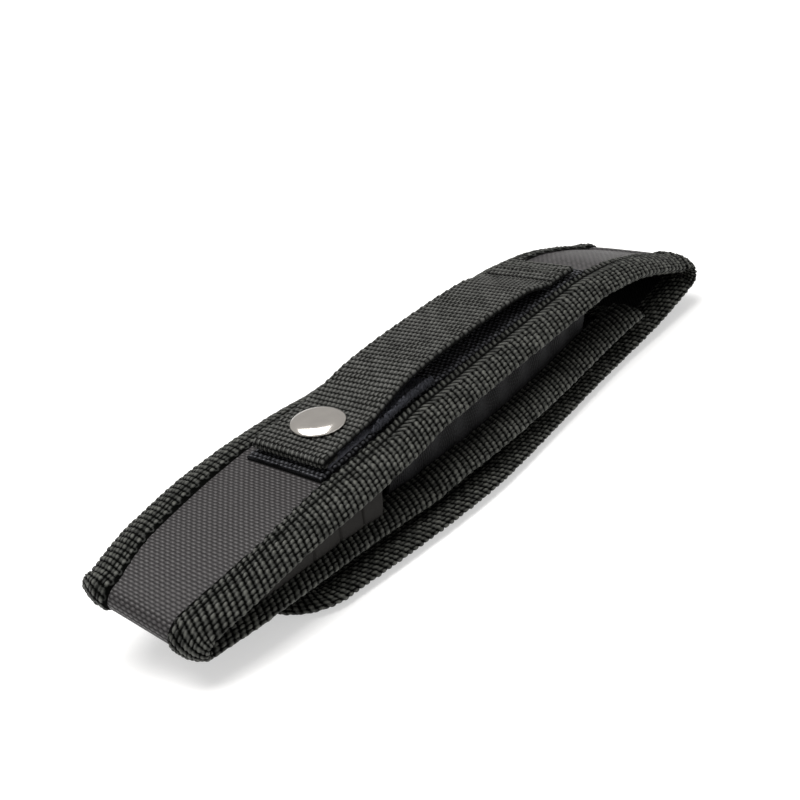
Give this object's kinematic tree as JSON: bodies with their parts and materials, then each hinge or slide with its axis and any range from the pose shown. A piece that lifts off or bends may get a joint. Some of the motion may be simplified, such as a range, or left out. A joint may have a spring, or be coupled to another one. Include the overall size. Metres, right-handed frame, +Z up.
{
  "type": "flashlight belt holster",
  "caption": "Folded nylon belt pouch for a slim hand torch, with a hook-and-loop flap, elastic sides and a snap belt loop.",
  "frame": {"origin": "middle of the holster's box, on the floor it lies on, under the flap", "axes": "+X from the closed bottom end to the fold of the flap, +Y across, +Z up through the belt loop"},
  "size_m": [0.1906, 0.049, 0.0306],
  "materials": {
    "nylon": "coated oxford weave",
    "binding": "coarse woven tape",
    "webbing": "plain weave webbing",
    "elastic": "ribbed elastic",
    "ribbon": "smooth grosgrain",
    "loop_pile": "brushed loop",
    "hook_pile": "moulded hooks on tape",
    "foam": "closed-cell foam",
    "nickel": "polished nickel plate"
  },
  "bodies": {
    "pouch": {"outer_shell": "nylon", "inner_lining": "nylon", "back_core": "foam", "front_core": "foam", "bottom_core": "foam", "body_binding_near": "binding", "body_binding_far": "binding", "mouth_binding": "binding", "elastic_gusset_near": "elastic", "elastic_gusset_far": "elastic", "ribbon_gusset_near": "ribbon", "ribbon_gusset_far": "ribbon", "base_webbing": "webbing", "belt_loop_pad": "loop_pile", "strap_anchor": "webbing", "snap_stud": "nickel", "snap_rivet": "nickel", "front_loop_pad": "loop_pile", "fold_panel": "nylon", "fold_binding_near": "binding", "fold_binding_far": "binding"},
    "flap": {"flap_shell": "nylon", "flap_core": "foam", "flap_lining": "nylon", "flap_binding": "binding", "flap_hook_pad": "hook_pile"},
    "strap": {"belt_strap": "webbing", "strap_hook_pad": "hook_pile", "snap_cap": "nickel", "snap_socket": "nickel"}
  },
  "joints": [
    {"name": "flap_fold", "type": "hinge", "parent": "pouch", "child": "flap", "pos_m": [0.0914, 0.0022, 0.00875], "axis": [0, -1, 0], "range_deg": [0, 150], "deforming": ["fold_panel", "fold_binding_near", "fold_binding_far"]},
    {"name": "strap_lift", "type": "hinge", "parent": "pouch", "child": "strap", "pos_m": [0.0469, 0.0022, 0.0265], "axis": [0, 1, 0], "range_deg": [0, 135]}
  ]
}
